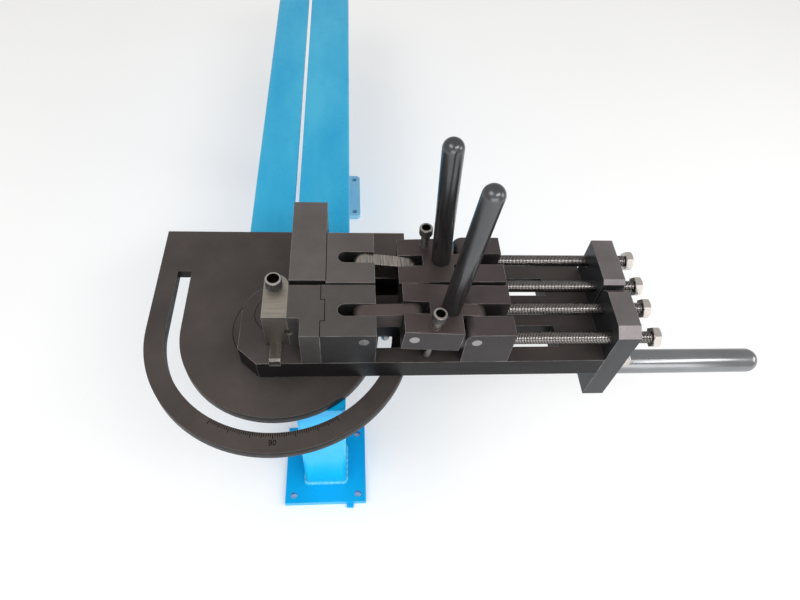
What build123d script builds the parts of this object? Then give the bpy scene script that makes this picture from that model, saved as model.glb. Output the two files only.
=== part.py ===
"""Manual tube bender: a rotary-draw bending head on a slotted bed with two bolt-down feet.

Units are millimetres, +Z is up. The origin is the centre of the front foot's bolt pattern, on the
floor. The bed runs away along +Y and the swing arm points along +X when it is at rest.
The head is drawn in spindle coordinates: the spindle axis is their origin and the top face of the
base plate is their zero height. plan(), elevation() and section() place sketches in them.
"""
import math
import os
from dataclasses import dataclass

from build123d import *

os.makedirs("parts", exist_ok=True)

# ---------------------------------------------------------------- driving dimensions
SPINDLE_X, SPINDLE_Y = -56.0, 86.0  # spindle axis, from the front foot's centre
TABLE_HEIGHT = 294.0  # floor to the top face of the base plate

M6, M8, M12, M14, M16 = 3.0, 4.0, 6.0, 7.0, 8.0  # nominal thread radii

PLATE_RADIUS = 180.0  # front half circle of the base plate, also half its width
PLATE_BACK = 178.0  # spindle to the rear edge
PLATE_THICK = 15.0
RING_SLOT_RADIUS = 144.0  # centre line of the curved guide slot
RING_SLOT_WIDTH = 19.4
RING_SLOT_LEFT_END = 100.0
RING_SLOT_RIGHT_END = 8.0

HUB_FLANGE_RADIUS = 64.5
HUB_FLANGE_THICK = 8.0
HUB_RADIUS = 50.0
HUB_BOTTOM = -62.0
HUB_SCREW_CIRCLE = 57.5
HUB_SCREW_COUNT = 6
HUB_SCREW_FIRST = 30.0  # degrees from +X
BUSH_OUTER = 30.0
BUSH_LENGTH = 25.0
THRUST_RADIUS = 48.0
THRUST_SEAT = 3.0  # depth of the thrust washer's seat

RUNNING_FIT = 0.05  # radial clearance of shafts and pins that turn
SLIDE_GAP = 0.3  # between sliding blocks and what they slide past
THRUST_GAP = 0.1  # axial play of the spindle

ARM_BOTTOM, ARM_TOP = 0.5, 35.0
ARM_FRONT = -77.0
ARM_END = 428.6
ARM_HEAD_RADIUS = 48.0
ARM_CORNER = (-23.0, -54.0)  # where the clipped front corner meets the front and left edges
GUIDE_PIN_X, GUIDE_PIN_Y = 143.8, -8.0
SHAFT_RADIUS = 25.0
SPINDLE_FACE_RADIUS = 31.0
SPINDLE_FACE_THICK = 10.0
SPINDLE_THREAD_RADIUS = 20.0
SPINDLE_END = -84.0

GUIDE_FRONT, GUIDE_BACK = 2.0, 86.0
GUIDE_LEFT = 64.0
GUIDE_CLEARANCE_RADIUS = 84.0  # lets the arm's corner swing past the guide plate

WAY_RIGHT = 370.0  # right end of both ways
WAY_LEFT_MARGIN = 4.0  # the way starts this far left of its slide's foot
WAY_STEP = 11.8  # top of the wide lower part of a way
WAY_UNDERCUT = 6.0  # how far the wide part reaches under each side
KEEPER_BOTTOM = 2.0

END_PLATE_THICK = 30.0
END_PLATE_TOP = 95.7
END_PLATE_LOW = -59.0  # the front end plate reaches down to carry the main handle
END_CHAMFER_DROP = 9.6
END_SCREW_HEIGHT = 17.5
BOLT_SPREAD = 22.75  # each adjusting bolt, from its unit's centre
BOLT_HEIGHT = 66.0
BOLT_POCKET = 5.0
BOLT_SEAT = 482.5  # underside of the adjusting bolts' heads
BOLT_HEAD_FLATS, BOLT_HEAD_HEIGHT = 24.0, 10.0
REAR_END_PLATE_FRONT, REAR_END_PLATE_BACK = 5.0, 80.0
REAR_END_CHAMFER_RUN, REAR_END_CHAMFER_DROP = 5.9, 5.0
FRONT_END_PLATE_BACK = 0.5
FRONT_END_FRONT_RUN, FRONT_END_BACK_RUN = 14.2, 10.4  # widths of its two top chamfers
END_SCREW_LENGTH, END_SCREW_DEPTH = 70.0, 45.0  # whole screw, and how deep it goes in the arm

SLIDE_RIGHT = 126.0
SLIDE_PIN_X = 110.8
LINK_SLOT_WIDTH = 18.0
LINK_SLOT_START = 79.0
LINK_SLOT_FLOOR = 62.0
LINK_THICK = 17.4
LINK_RADIUS = 13.0
LINK_EYE_TRAVEL = 5.8  # the slide pin's lost motion in the link's long eye
LINK_EYE_DROP = 0.65
LINK_EYE_RADIUS = 7.3
PIN_RADIUS = 6.0
NOSE_CHAMFER = 1.0  # at the ends of bolts and of the guide pin

FORK_LEFT, FORK_RIGHT = 235.5, 297.0
FORK_TOP = 96.0
FORK_WIDTH = 77.0
FORK_SLOT_WIDTH = 18.4
FORK_SLOT_FLOOR = 60.0
FORK_CORNER_RADIUS = 12.0
FORK_FOOT_MARGIN = 7.0
FORK_PIN_X, FORK_PIN_Z = 249.9, 79.7

LEVER_ARM = 78.0  # fork pin to link pin
LEVER_LEFT, LEVER_RIGHT = -91.9, -18.6  # ends of the lever block, along the lever from the fork pin
LEVER_TOP, LEVER_BOTTOM = 16.5, -20.5
LEVER_WIDTH = 75.0
LEVER_SLOT_DEPTH = 33.0
TONGUE_THICK = 17.8
TONGUE_RADIUS = 16.5
HANDLE_RADIUS = 12.5
HANDLE_STUD = 25.0
STOP_PLACE = -53.6
STOP_OFFSET = 27.0
STOP_LENGTH = 80.0

DIE_TOP = 96.5
BEND_RADIUS = 17.5  # spindle axis to the tube's centre line
DIE_LEFT = -12.5
DIE_FRONT = -49.0
DIE_GAP = 0.3  # between the bend die and the dies that face it
TUBE_HEIGHT = 65.0
TUBE_GROOVE = 5.1
HEEL_OVERRUN = 5.0  # degrees that the round groove is cut past the heel
DIE_SCREW_LENGTH = 104.0
KEY_WIDTH, KEY_HEIGHT, KEY_PROUD = 14.0, 9.0, 4.0  # it stands proud of the arm by the last
KEY_FRONT, KEY_BACK = -74.5, -9.5
KEY_END_CHAMFER = 2.5
DIE_NOTCH_X, DIE_NOTCH_Y = 33.5, -50.0
DIE_NOTCH_CORNER = 3.0
DIE_TENON_WIDTH, DIE_TENON_DEPTH = 32.0, 5.4
PRESSURE_DIE_FRONT, PRESSURE_DIE_BACK = 6.0, 144.0
PRESSURE_DIE_BOTTOM = 36.0
PRESSURE_KEY = (20.0, 72.0, 50.0, 74.0)  # front, back, low and high sides of the hidden key

MAIN_HANDLE_RADIUS = 17.5
MAIN_HANDLE_LENGTH = 237.0
MAIN_HANDLE_Z = -35.0

BED_LEFT, BED_RIGHT = -62.0, 95.0
BED_SLOT_LEFT, BED_SLOT_RIGHT = 4.5, 11.5
BED_FRONT, BED_BACK = 56.0, 1050.0
RAIL_HEIGHT = 60.0
RAIL_WALL = 6.0
RAIL_CORNER = 5.0
RAIL_LIP = 12.0  # depth of the short fold beside the slot
TIE_THICK = 8.0

POST_SIZE, POST_WALL = 65.0, 5.0
POST_X = 56.0
FRONT_POST_Y, REAR_POST_Y = -86.0, 555.0
FOOT_SIZE, FOOT_THICK = 130.0, 12.0
FOOT_HOLE_PITCH, FOOT_HOLE_RADIUS = 104.0, 5.5
LUG_LEFT, LUG_RIGHT, LUG_LENGTH = 90.0, 101.0, 7.0  # small tab on the front foot
REAR_FOOT_CORNER = 6.0

SLIDE_FOOT_RIGHT = 120.0  # the narrow part of a slide, down in the way
BLOCK_SCREW_DEPTH = 18.0  # keeper screws, into slides and forks
BLOCK_SCREW_LENGTH = 25.0
GUIDE_SCREW_DEPTH, GUIDE_SCREW_LENGTH = 22.0, 35.0
RAIL_SCREW_DEPTH, RAIL_SCREW_LENGTH = 10.0, 16.0
HUB_SCREW_LENGTH = 13.0
GUIDE_PIN_DEPTH = 20.0  # of the guide pin, in the arm
GUIDE_PIN_LIFT = 2.0  # its lower end stops short of the plate's underside
DIE_SCREW_DEPTH = 45.0  # threaded depth in the spindle, below the arm's top face

NUT_FLANGE_RADIUS, NUT_FLANGE_THICK = 34.0, 5.0
NUT_ACROSS_FLATS, NUT_THICK = 58.0, 14.0


@dataclass
class ToggleUnit:
    """One toggle unit: a slide with its die, a link, a lever and an adjustable fork."""

    name: str
    axis: float  # Y of its centre
    way_width: float
    slide_left: float
    slide_width: float
    slide_top: float
    slide_foot_left: float
    slide_pin_z: float
    tilt: float  # degrees that the lever leans to the right
    handle_place: float  # along the lever, from the fork pin
    handle_length: float
    stop_side: int  # -1 puts the stop screw in front of the handle, 1 behind it
    end_screw_ys: tuple

    @property
    def stop_y(self):
        return self.axis + self.stop_side * STOP_OFFSET


CLAMP = ToggleUnit(
    name="clamp",
    axis=-38.25,
    way_width=33.0,
    slide_left=58.0,
    slide_width=77.0,
    slide_top=97.0,
    slide_foot_left=68.0,
    slide_pin_z=83.0,
    tilt=4.5,
    handle_place=-32.3,
    handle_length=205.0,
    stop_side=-1,
    end_screw_ys=(-65.0, -12.0),
)
PRESSURE = ToggleUnit(
    name="pressure",
    axis=44.5,
    way_width=30.0,
    slide_left=64.0,
    slide_width=85.0,
    slide_top=99.0,
    slide_foot_left=96.0,
    slide_pin_z=84.0,
    tilt=-3.0,
    handle_place=-34.8,
    handle_length=198.0,
    stop_side=1,
    end_screw_ys=(14.0, 68.0),
)


# ---------------------------------------------------------------- placing and saving
def plan(height):
    """Horizontal sketch plane; a positive extrusion goes up."""
    return Plane((SPINDLE_X, SPINDLE_Y, TABLE_HEIGHT + height))


def underside(height):
    """Horizontal sketch plane seen from below: local y is -Y and a positive extrusion goes down."""
    return Plane((SPINDLE_X, SPINDLE_Y, TABLE_HEIGHT + height), x_dir=(1, 0, 0), z_dir=(0, 0, -1))


def elevation(y):
    """Upright plane facing the front: local x is X, local y is height, extrusions go to -Y."""
    return Plane((SPINDLE_X, SPINDLE_Y + y, TABLE_HEIGHT), x_dir=(1, 0, 0), z_dir=(0, -1, 0))


def section(x):
    """Upright plane across the arm: local x is Y, local y is height, extrusions go to +X."""
    return Plane((SPINDLE_X + x, SPINDLE_Y, TABLE_HEIGHT), x_dir=(0, 1, 0), z_dir=(1, 0, 0))


def lever_plane(unit, y):
    """Elevation about the fork pin, turned so that local x runs along the tilted lever."""
    turn = math.radians(unit.tilt)
    centre = (SPINDLE_X + FORK_PIN_X, SPINDLE_Y + y, TABLE_HEIGHT + FORK_PIN_Z)
    return Plane(centre, x_dir=(math.cos(turn), 0, -math.sin(turn)), z_dir=(0, -1, 0))


def link_pin_place(unit):
    """X and height of the pin that joins the lever and the link."""
    turn = math.radians(unit.tilt)
    return FORK_PIN_X - LEVER_ARM * math.cos(turn), FORK_PIN_Z + LEVER_ARM * math.sin(turn)


def block(left, right, low, high, mode=Mode.ADD):
    """Rectangle in the open sketch, given by its four sides."""
    with Locations(((left + right) / 2, (low + high) / 2)):
        Rectangle(abs(right - left), high - low, mode=mode)


def save(piece, name):
    piece.part.label = name
    export_step(piece.part, f"parts/{name}.step")


# ---------------------------------------------------------------- shared shapes
def cap_screws(plane, points, radius, length):
    """Socket head cap screws: the plane is their seat and its normal points to the heads."""
    head_height = radius * 2
    with BuildPart() as screws:
        with BuildSketch(plane):
            with Locations(*points):
                Circle(radius)
        extrude(amount=-length)
        with BuildSketch(plane):
            with Locations(*points):
                Circle(radius * 1.5)
        extrude(amount=head_height)
        with BuildSketch(plane.offset(head_height)):
            with Locations(*points):
                RegularPolygon(radius * 0.85, 6, major_radius=False)
        extrude(amount=-radius, mode=Mode.SUBTRACT)
    return screws


def countersunk_screws(plane, points, radius, length):
    """Countersunk socket screws, flush with the plane."""
    with BuildPart() as screws:
        with BuildSketch(plane):
            with Locations(*points):
                Circle(radius)
        extrude(amount=-length)
        with Locations(plane):
            with Locations(*points):
                Cone(radius, 2 * radius, radius, align=(Align.CENTER, Align.CENTER, Align.MAX))
        with BuildSketch(plane):
            with Locations(*points):
                RegularPolygon(radius * 0.6, 6, major_radius=False)
        extrude(amount=-radius * 0.8, mode=Mode.SUBTRACT)
    return screws


def pin_through(y, half_length, x, z):
    """Pin along Y, flush with both sides of its block."""
    with BuildPart() as dowel:
        with BuildSketch(elevation(y)):
            with Locations((x, z)):
                Circle(PIN_RADIUS)
        extrude(amount=half_length, both=True)
    return dowel


def grip(plane, radius, length, stud_radius, stud_length):
    """Round bar with a domed tip, screwed in at the plane's origin; local y is its axis."""
    shoulder = length - radius
    with BuildPart() as bar:
        with BuildSketch(plane):
            with BuildLine():
                Polyline(
                    (0, length),
                    (0, -stud_length),
                    (stud_radius, -stud_length),
                    (stud_radius, 0),
                    (radius, 0),
                    (radius, shoulder),
                )
                CenterArc((0, shoulder), radius, 0, 90)
            make_face()
        revolve(axis=Axis(plane.origin, plane.y_dir))
    return bar


# ---------------------------------------------------------------- base plate and spindle hub
def guide_screw_points():
    """Screws that hold the guide plate, clear of its way."""
    return [(x, y) for x in (106, 168) for y in (12, 77)]


def rail_screw_points():
    """Screws up through the bed rails into the base plate."""
    left_middle = (BED_LEFT + BED_SLOT_LEFT) / 2
    right_middle = BED_SLOT_RIGHT + BED_SLOT_LEFT - left_middle
    return [(x, y) for x in (left_middle, right_middle) for y in (92, 158)]


def hub_screw_points():
    angles = [math.radians(HUB_SCREW_FIRST + 360 / HUB_SCREW_COUNT * i) for i in range(HUB_SCREW_COUNT)]
    return [(HUB_SCREW_CIRCLE * math.cos(a), HUB_SCREW_CIRCLE * math.sin(a)) for a in angles]


def base_plate():
    inner = RING_SLOT_RADIUS - RING_SLOT_WIDTH / 2
    outer = RING_SLOT_RADIUS + RING_SLOT_WIDTH / 2
    side = PLATE_RADIUS
    with BuildPart() as plate:
        with BuildSketch(plan(-PLATE_THICK)):
            with BuildLine():
                CenterArc((0, 0), PLATE_RADIUS, 180, 180)
                Polyline((side, 0), (side, PLATE_BACK), (-side, PLATE_BACK), (-side, 0))
            make_face()
            with BuildLine():
                CenterArc((0, 0), outer, 180, 180)
                CenterArc((0, 0), inner, 180, 180)
                Polyline((outer, 0), (outer, RING_SLOT_RIGHT_END), (inner, RING_SLOT_RIGHT_END), (inner, 0))
                Polyline((-outer, 0), (-outer, RING_SLOT_LEFT_END), (-inner, RING_SLOT_LEFT_END), (-inner, 0))
            make_face(mode=Mode.SUBTRACT)
            Circle(HUB_RADIUS, mode=Mode.SUBTRACT)
            with Locations(*guide_screw_points()):
                Circle(M8, mode=Mode.SUBTRACT)
        extrude(amount=PLATE_THICK)
        with BuildSketch(plan(0)):
            Circle(HUB_FLANGE_RADIUS)
        extrude(amount=-HUB_FLANGE_THICK, mode=Mode.SUBTRACT)
        with BuildSketch(plan(0)):
            with Locations(*hub_screw_points()):
                Circle(M6)
        extrude(amount=-HUB_SCREW_LENGTH, mode=Mode.SUBTRACT)
        with BuildSketch(plan(-PLATE_THICK)):
            with Locations(*rail_screw_points()):
                Circle(M8)
        extrude(amount=RAIL_SCREW_DEPTH, mode=Mode.SUBTRACT)
    return plate


def hub_housing():
    with BuildPart() as housing:
        with BuildSketch(plan(-HUB_FLANGE_THICK)):
            Circle(HUB_FLANGE_RADIUS)
        extrude(amount=HUB_FLANGE_THICK)
        with BuildSketch(plan(HUB_BOTTOM)):
            Circle(HUB_RADIUS)
        extrude(amount=-HUB_BOTTOM - HUB_FLANGE_THICK)
        with BuildSketch(plan(HUB_BOTTOM)):
            Circle(BUSH_OUTER)
        extrude(amount=-HUB_BOTTOM, mode=Mode.SUBTRACT)
        with BuildSketch(plan(0)):
            Circle(THRUST_RADIUS)
        extrude(amount=-THRUST_SEAT, mode=Mode.SUBTRACT)
        with BuildSketch(plan(0)):
            with Locations(*hub_screw_points()):
                Circle(M6)
        extrude(amount=-HUB_FLANGE_THICK, mode=Mode.SUBTRACT)
        with Locations(plan(0)):
            with Locations(*hub_screw_points()):
                Cone(M6, 2 * M6, M6, align=(Align.CENTER, Align.CENTER, Align.MAX), mode=Mode.SUBTRACT)
    return housing


def bush(bottom):
    with BuildPart() as sleeve:
        with BuildSketch(plan(bottom)):
            Circle(BUSH_OUTER)
            Circle(SHAFT_RADIUS + RUNNING_FIT, mode=Mode.SUBTRACT)
        extrude(amount=BUSH_LENGTH)
    return sleeve


def thrust_washer():
    with BuildPart() as washer:
        with BuildSketch(plan(-THRUST_SEAT)):
            Circle(THRUST_RADIUS)
            Circle(SHAFT_RADIUS + SLIDE_GAP, mode=Mode.SUBTRACT)
        extrude(amount=THRUST_SEAT + ARM_BOTTOM - THRUST_GAP)
    return washer


# ---------------------------------------------------------------- stand
def rail(outer, inner):
    """Folded rail, open underneath: a deep flange outside and a short lip beside the slot."""
    inward = RAIL_WALL if inner > outer else -RAIL_WALL
    bottom, web = -PLATE_THICK - RAIL_HEIGHT, -PLATE_THICK - RAIL_WALL
    with BuildPart() as channel:
        with BuildSketch(elevation(BED_BACK)) as profile:
            block(outer, inner, bottom, -PLATE_THICK)
            outer_side = profile.vertices().filter_by_position(Axis.X, outer - 1, outer + 1)
            fillet(outer_side.sort_by(Axis.Y)[-1], RAIL_CORNER)
            block(outer + inward, inner - inward, bottom, web, mode=Mode.SUBTRACT)
            block(inner - inward, inner, bottom, -PLATE_THICK - RAIL_LIP, mode=Mode.SUBTRACT)
        extrude(amount=BED_BACK - BED_FRONT)
        left, right = min(outer, inner), max(outer, inner)
        own_holes = [(x, y) for x, y in rail_screw_points() if left < x < right]
        with BuildSketch(plan(-PLATE_THICK)):
            with Locations(*own_holes):
                Circle(M8)
        extrude(amount=-RAIL_WALL, mode=Mode.SUBTRACT)
    return channel


def rail_tie():
    """Plate across the far ends of both rails."""
    with BuildPart() as tie:
        with BuildSketch(elevation(BED_BACK)):
            block(BED_LEFT, BED_RIGHT, -PLATE_THICK - RAIL_HEIGHT, -PLATE_THICK)
        extrude(amount=-TIE_THICK)
    return tie


def post(y, top):
    """Square tube standing on its foot plate, capped on top."""
    inside = POST_SIZE - 2 * POST_WALL
    height = top + TABLE_HEIGHT - FOOT_THICK
    with BuildPart() as tube:
        with BuildSketch(plan(FOOT_THICK - TABLE_HEIGHT)):
            with Locations((POST_X, y)):
                RectangleRounded(POST_SIZE, POST_SIZE, POST_WALL)
        extrude(amount=height)
        with BuildSketch(plan(FOOT_THICK - TABLE_HEIGHT)):
            with Locations((POST_X, y)):
                Rectangle(inside, inside)
        extrude(amount=height - POST_WALL, mode=Mode.SUBTRACT)
    return tube


def foot(y, corner_cut, has_lug):
    """Foot plate with four floor bolt holes."""
    with BuildPart() as plate:
        with BuildSketch(plan(-TABLE_HEIGHT)) as outline:
            with Locations((POST_X, y)):
                Rectangle(FOOT_SIZE, FOOT_SIZE)
                if corner_cut:
                    chamfer(outline.vertices(), corner_cut)
                with GridLocations(FOOT_HOLE_PITCH, FOOT_HOLE_PITCH, 2, 2):
                    Circle(FOOT_HOLE_RADIUS, mode=Mode.SUBTRACT)
        extrude(amount=FOOT_THICK)
        if has_lug:
            front = y - FOOT_SIZE / 2
            with BuildSketch(plan(-TABLE_HEIGHT)):
                block(LUG_LEFT, LUG_RIGHT, front - LUG_LENGTH, front)
            extrude(amount=FOOT_THICK / 2)
    return plate


# ---------------------------------------------------------------- guide plate and end plates
def guide_plate():
    """Fixed twin of the arm: carries the pressure unit."""
    way_half = PRESSURE.way_width / 2
    way_left = PRESSURE.slide_foot_left - WAY_LEFT_MARGIN
    with BuildPart() as plate:
        with BuildSketch(plan(0)):
            block(GUIDE_LEFT, ARM_END, GUIDE_FRONT, GUIDE_BACK)
            Circle(GUIDE_CLEARANCE_RADIUS, mode=Mode.SUBTRACT)
        extrude(amount=ARM_TOP)
        with BuildSketch(plan(0)):
            block(way_left, WAY_RIGHT, PRESSURE.axis - way_half, PRESSURE.axis + way_half)
        extrude(amount=ARM_TOP, mode=Mode.SUBTRACT)
        wide_half = way_half + WAY_UNDERCUT
        with BuildSketch(plan(0)):
            block(way_left, WAY_RIGHT, PRESSURE.axis - wide_half, PRESSURE.axis + wide_half)
        extrude(amount=WAY_STEP, mode=Mode.SUBTRACT)
        with BuildSketch(plan(0)):
            with Locations(*guide_screw_points()):
                Circle(M8)
        extrude(amount=GUIDE_SCREW_DEPTH, mode=Mode.SUBTRACT)
        with BuildSketch(section(ARM_END)):
            with Locations(*end_screw_points(PRESSURE)):
                Circle(M12)
        extrude(amount=-END_SCREW_DEPTH, mode=Mode.SUBTRACT)
    return plate


def end_screw_points(unit):
    return [(y, END_SCREW_HEIGHT) for y in unit.end_screw_ys]


def bolt_points(unit):
    return [(unit.axis - BOLT_SPREAD, BOLT_HEIGHT), (unit.axis + BOLT_SPREAD, BOLT_HEIGHT)]


def rear_end_plate():
    front, back = REAR_END_PLATE_FRONT, REAR_END_PLATE_BACK
    with BuildPart() as plate:
        with BuildSketch(section(ARM_END)):
            with BuildLine():
                Polyline(
                    (front, 0),
                    (back, 0),
                    (back, END_PLATE_TOP),
                    (front + REAR_END_CHAMFER_RUN, END_PLATE_TOP),
                    (front, END_PLATE_TOP - REAR_END_CHAMFER_DROP),
                    close=True,
                )
            make_face()
            with Locations(*bolt_points(PRESSURE)):
                Circle(M16, mode=Mode.SUBTRACT)
            with Locations(*end_screw_points(PRESSURE)):
                Circle(M12, mode=Mode.SUBTRACT)
        extrude(amount=END_PLATE_THICK)
    return plate


def front_end_plate():
    """Ends the swing arm, carries the clamp unit's bolts and, lower down, the main handle."""
    front, back = ARM_FRONT, FRONT_END_PLATE_BACK
    shoulder = END_PLATE_TOP - END_CHAMFER_DROP
    with BuildPart() as plate:
        with BuildSketch(section(ARM_END)):
            with BuildLine():
                Polyline(
                    (front, END_PLATE_LOW),
                    (back, END_PLATE_LOW),
                    (back, shoulder),
                    (back - FRONT_END_BACK_RUN, END_PLATE_TOP),
                    (front + FRONT_END_FRONT_RUN, END_PLATE_TOP),
                    (front, shoulder),
                    close=True,
                )
            make_face()
            with Locations(*bolt_points(CLAMP), (CLAMP.axis, MAIN_HANDLE_Z)):
                Circle(M16, mode=Mode.SUBTRACT)
            with Locations(*end_screw_points(CLAMP)):
                Circle(M12, mode=Mode.SUBTRACT)
        extrude(amount=END_PLATE_THICK)
    return plate


def main_handle():
    outer_x = SPINDLE_X + ARM_END + END_PLATE_THICK
    origin = (outer_x, SPINDLE_Y + CLAMP.axis, TABLE_HEIGHT + MAIN_HANDLE_Z)
    along_arm = Plane(origin, x_dir=(0, 0, 1), z_dir=(0, 1, 0))
    return grip(along_arm, MAIN_HANDLE_RADIUS, MAIN_HANDLE_LENGTH, M16, END_PLATE_THICK)


# ---------------------------------------------------------------- swing arm
def swing_arm():
    corner_x, corner_y = ARM_CORNER
    head = ARM_HEAD_RADIUS
    way_half = CLAMP.way_width / 2
    way_left = CLAMP.slide_foot_left - WAY_LEFT_MARGIN
    with BuildPart() as arm:
        with BuildSketch(plan(ARM_BOTTOM)):
            with BuildLine():
                CenterArc((0, 0), head, 0, 180)
                Polyline(
                    (-head, 0),
                    (-head, corner_y),
                    (corner_x, ARM_FRONT),
                    (ARM_END, ARM_FRONT),
                    (ARM_END, 0),
                    (head, 0),
                )
            make_face()
            Circle(SHAFT_RADIUS, mode=Mode.SUBTRACT)
            block(way_left, WAY_RIGHT, CLAMP.axis - way_half, CLAMP.axis + way_half, mode=Mode.SUBTRACT)
        extrude(amount=ARM_TOP - ARM_BOTTOM)
        with BuildSketch(plan(ARM_TOP)):
            Circle(SPINDLE_FACE_RADIUS)
        extrude(amount=-SPINDLE_FACE_THICK, mode=Mode.SUBTRACT)
        wide_half = way_half + WAY_UNDERCUT
        with BuildSketch(plan(ARM_BOTTOM)):
            block(way_left, WAY_RIGHT, CLAMP.axis - wide_half, CLAMP.axis + wide_half)
        extrude(amount=WAY_STEP - ARM_BOTTOM, mode=Mode.SUBTRACT)
        with BuildSketch(plan(ARM_BOTTOM)):
            with Locations((GUIDE_PIN_X, GUIDE_PIN_Y)):
                Circle(PIN_RADIUS)
        extrude(amount=GUIDE_PIN_DEPTH, mode=Mode.SUBTRACT)
        with BuildSketch(section(ARM_END)):
            with Locations(*end_screw_points(CLAMP)):
                Circle(M12)
        extrude(amount=-END_SCREW_DEPTH, mode=Mode.SUBTRACT)
        with BuildSketch(elevation(KEY_BACK)):
            key_profile()
        extrude(amount=KEY_BACK - ARM_FRONT, mode=Mode.SUBTRACT)
    return arm


def spindle():
    """Shaft fixed in the arm; its head is flush with the arm's top face."""
    shoulder = HUB_BOTTOM - THRUST_GAP
    with BuildPart() as shaft:
        with BuildSketch(plan(ARM_TOP)):
            Circle(SPINDLE_FACE_RADIUS)
        extrude(amount=-SPINDLE_FACE_THICK)
        with BuildSketch(plan(shoulder)):
            Circle(SHAFT_RADIUS)
        extrude(amount=ARM_TOP - SPINDLE_FACE_THICK - shoulder)
        with BuildSketch(plan(SPINDLE_END)):
            Circle(SPINDLE_THREAD_RADIUS)
        extrude(amount=shoulder - SPINDLE_END)
        with BuildSketch(plan(ARM_TOP)):
            Circle(M14)
        extrude(amount=-DIE_SCREW_DEPTH, mode=Mode.SUBTRACT)
        with BuildSketch(elevation(KEY_BACK)):
            key_profile()
        extrude(amount=KEY_BACK + SPINDLE_FACE_RADIUS, mode=Mode.SUBTRACT)
    return shaft


def spindle_nut():
    """Flanged nut under the hub."""
    top = HUB_BOTTOM - THRUST_GAP
    with BuildPart() as nut:
        with BuildSketch(plan(top)):
            Circle(NUT_FLANGE_RADIUS)
            Circle(SPINDLE_THREAD_RADIUS, mode=Mode.SUBTRACT)
        extrude(amount=-NUT_FLANGE_THICK)
        with BuildSketch(plan(top - NUT_FLANGE_THICK)):
            RegularPolygon(NUT_ACROSS_FLATS / 2, 6, major_radius=False)
            Circle(SPINDLE_THREAD_RADIUS, mode=Mode.SUBTRACT)
        extrude(amount=-NUT_THICK)
    return nut


def arm_guide_pin():
    """Runs in the base plate's curved slot."""
    with BuildPart() as dowel:
        with BuildSketch(plan(GUIDE_PIN_LIFT - PLATE_THICK)):
            with Locations((GUIDE_PIN_X, GUIDE_PIN_Y)):
                Circle(PIN_RADIUS)
        extrude(amount=PLATE_THICK - GUIDE_PIN_LIFT + ARM_BOTTOM + GUIDE_PIN_DEPTH)
        chamfer(dowel.edges().sort_by(Axis.Z)[0], NOSE_CHAMFER)
    return dowel


# ---------------------------------------------------------------- bending tools
def bend_die():
    """Straight clamping nose and a round heel about the spindle, with a half-round tube groove."""
    heel_angle = math.degrees(math.acos(DIE_LEFT / BEND_RADIUS))
    heel_y = BEND_RADIUS * math.sin(math.radians(heel_angle))
    spindle_axis = Axis((SPINDLE_X, SPINDLE_Y, 0), (0, 0, 1))
    with BuildPart() as die:
        with BuildSketch(plan(ARM_TOP)):
            with BuildLine():
                CenterArc((0, 0), BEND_RADIUS, 0, heel_angle)
                Polyline(
                    (DIE_LEFT, heel_y),
                    (DIE_LEFT, DIE_FRONT),
                    (BEND_RADIUS, DIE_FRONT),
                    (BEND_RADIUS, 0),
                )
            make_face()
            Circle(M14, mode=Mode.SUBTRACT)
        extrude(amount=DIE_TOP - ARM_TOP)
        with BuildSketch(elevation(0)):
            with Locations((BEND_RADIUS, TUBE_HEIGHT)):
                Circle(TUBE_GROOVE)
        extrude(amount=-DIE_FRONT, mode=Mode.SUBTRACT)
        with BuildSketch(elevation(0)):
            with Locations((BEND_RADIUS, TUBE_HEIGHT)):
                Circle(TUBE_GROOVE)
        revolve(axis=spindle_axis, revolution_arc=heel_angle + HEEL_OVERRUN, mode=Mode.SUBTRACT)
        with BuildSketch(elevation(KEY_BACK)):
            key_profile()
        extrude(amount=KEY_BACK - DIE_FRONT, mode=Mode.SUBTRACT)
    return die


def key_profile():
    """Section of the key and its slots, in an elevation sketch."""
    block(-KEY_WIDTH / 2, KEY_WIDTH / 2, ARM_TOP + KEY_PROUD - KEY_HEIGHT, ARM_TOP + KEY_PROUD)


def die_key():
    """Flat key that locks the bend die, the spindle and the arm together."""
    with BuildPart() as key:
        with BuildSketch(elevation(KEY_BACK)):
            key_profile()
        extrude(amount=KEY_BACK - KEY_FRONT)
        front_edges = key.edges().group_by(Axis.Y)[0]
        chamfer(front_edges.sort_by(Axis.Z)[-1], KEY_END_CHAMFER)
    return key


def clamp_die():
    """Grips the tube against the bend die; a tenon sets it into the slide."""
    low = ARM_TOP + SLIDE_GAP
    front = CLAMP.axis - CLAMP.slide_width / 2
    back = CLAMP.axis + CLAMP.slide_width / 2
    face = BEND_RADIUS + DIE_GAP
    with BuildPart() as die:
        with BuildSketch(plan(low)) as outline:
            block(face, CLAMP.slide_left, front, back)
            block(face, DIE_NOTCH_X, front, DIE_NOTCH_Y, mode=Mode.SUBTRACT)
            near_notch = (DIE_NOTCH_X - 0.1, DIE_NOTCH_X + 0.1)
            notch_corners = outline.vertices().filter_by_position(Axis.X, *near_notch)
            fillet(notch_corners.sort_by(Axis.Y)[-1], DIE_NOTCH_CORNER)
            block(CLAMP.slide_left, CLAMP.slide_left + DIE_TENON_DEPTH, *tenon_sides(CLAMP))
        extrude(amount=CLAMP.slide_top - low)
        with BuildSketch(elevation(back)):
            with Locations((BEND_RADIUS, TUBE_HEIGHT)):
                Circle(TUBE_GROOVE)
        extrude(amount=CLAMP.slide_width, mode=Mode.SUBTRACT)
    return die


def tenon_sides(unit):
    return unit.axis - DIE_TENON_WIDTH / 2, unit.axis + DIE_TENON_WIDTH / 2


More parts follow.
